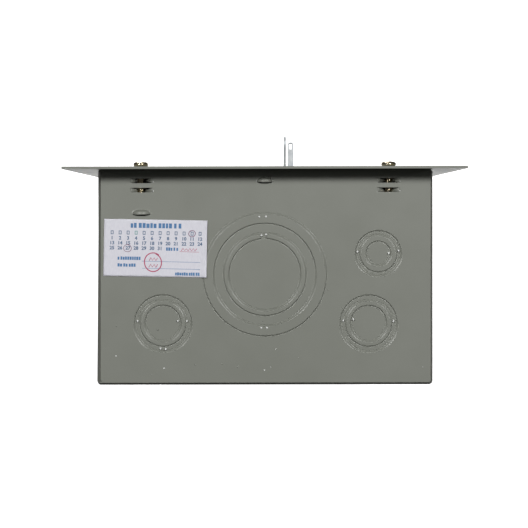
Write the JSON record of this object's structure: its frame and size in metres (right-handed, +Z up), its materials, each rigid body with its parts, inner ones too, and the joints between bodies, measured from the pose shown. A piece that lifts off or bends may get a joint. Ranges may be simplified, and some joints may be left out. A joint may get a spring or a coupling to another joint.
{
  "type": "residential load center",
  "caption": "Flush steel load center with a hinged door, a main breaker worked by an outside lever, and plug-on branch breakers.",
  "frame": {"origin": "middle of the enclosure's flat back face, where it meets the wall", "axes": "+Z up the wall, -Y out of the front, +X to the right when facing the front"},
  "size_m": [0.2454, 0.1571, 0.396],
  "materials": {
    "paint": "semi-gloss warm grey powder paint",
    "zinc_steel": "bright zinc plate",
    "yellow_zinc": "yellow zinc plate",
    "aluminium": "tinned, satin",
    "black_plastic": "moulded, matte",
    "grey_plastic": "moulded, matte",
    "base_plastic": "moulded phenolic, matte",
    "paper": "coated paper label"
  },
  "bodies": {
    "enclosure": {"enclosure_wrapper": "paint", "end_wall_top": "paint", "end_wall_bottom": "paint", "trim_cover": "paint", "dead_front": "paint", "hinge_pin_lower": "zinc_steel", "hinge_pin_upper": "zinc_steel", "padlock_staple": "zinc_steel", "staple_rivet_1": "zinc_steel", "staple_rivet_2": "zinc_steel", "line_lug_screw_left": "zinc_steel", "line_lug_screw_right": "zinc_steel", "interior_pan": "zinc_steel", "pan_screw_1": "zinc_steel", "pan_screw_2": "zinc_steel", "pan_screw_3": "zinc_steel", "pan_screw_4": "zinc_steel", "neutral_screw_1": "zinc_steel", "neutral_screw_2": "zinc_steel", "neutral_screw_3": "zinc_steel", "neutral_screw_4": "zinc_steel", "neutral_screw_5": "zinc_steel", "neutral_lug_screw": "zinc_steel", "bonding_strap": "zinc_steel", "ground_screw_1": "zinc_steel", "ground_screw_2": "zinc_steel", "ground_screw_3": "zinc_steel", "ground_screw_4": "zinc_steel", "trim_screw_lower_left": "yellow_zinc", "trim_screw_upper_left": "yellow_zinc", "trim_screw_lower_right": "yellow_zinc", "trim_screw_upper_right": "yellow_zinc", "line_lug_left": "aluminium", "line_lug_right": "aluminium", "bus_bar_left": "aluminium", "bus_bar_right": "aluminium", "neutral_bar": "aluminium", "neutral_lug": "aluminium", "ground_bar": "aluminium", "main_breaker_case": "black_plastic", "breaker_case_1": "black_plastic", "breaker_case_3": "black_plastic", "breaker_case_5": "black_plastic", "breaker_case_2_4": "black_plastic", "insulating_base": "base_plastic", "neutral_support_lower": "base_plastic", "neutral_support_upper": "base_plastic", "inspection_label": "paper"},
    "door": {"door": "paint", "latch_keeper": "zinc_steel", "circuit_directory": "paper"},
    "latch": {"latch_slider": "black_plastic"},
    "main_handle": {"main_toggle": "grey_plastic", "main_lever": "zinc_steel"},
    "handle_1": {"breaker_handle_1": "grey_plastic"},
    "handle_3": {"breaker_handle_3": "grey_plastic"},
    "handle_5": {"breaker_handle_5": "grey_plastic"},
    "handle_2_4": {"breaker_handle_2_4": "grey_plastic"}
  },
  "joints": [
    {"name": "door_hinge", "type": "hinge", "parent": "enclosure", "child": "door", "pos_m": [-0.07, -0.1342, -0.034], "axis": [0, 0, -1], "range_deg": [0, 115]},
    {"name": "latch_slide", "type": "slide", "parent": "door", "child": "latch", "axis": [1, 0, 0], "range_m": [0, 0.006]},
    {"name": "main_handle_throw", "type": "hinge", "parent": "enclosure", "child": "main_handle", "pos_m": [0, -0.096, 0.085], "axis": [1, 0, 0], "range_deg": [0, 40]},
    {"name": "handle_1_throw", "type": "hinge", "parent": "enclosure", "child": "handle_1", "pos_m": [-0.034, -0.103, 0.0041], "axis": [0, 0, -1], "range_deg": [0, 36]},
    {"name": "handle_3_throw", "type": "hinge", "parent": "enclosure", "child": "handle_3", "pos_m": [-0.034, -0.103, -0.0213], "axis": [0, 0, -1], "range_deg": [0, 36]},
    {"name": "handle_5_throw", "type": "hinge", "parent": "enclosure", "child": "handle_5", "pos_m": [-0.034, -0.103, -0.0467], "axis": [0, 0, -1], "range_deg": [0, 36]},
    {"name": "handle_2_4_throw", "type": "hinge", "parent": "enclosure", "child": "handle_2_4", "pos_m": [0.034, -0.103, 0.0041], "axis": [0, 0, 1], "range_deg": [0, 36]}
  ]
}
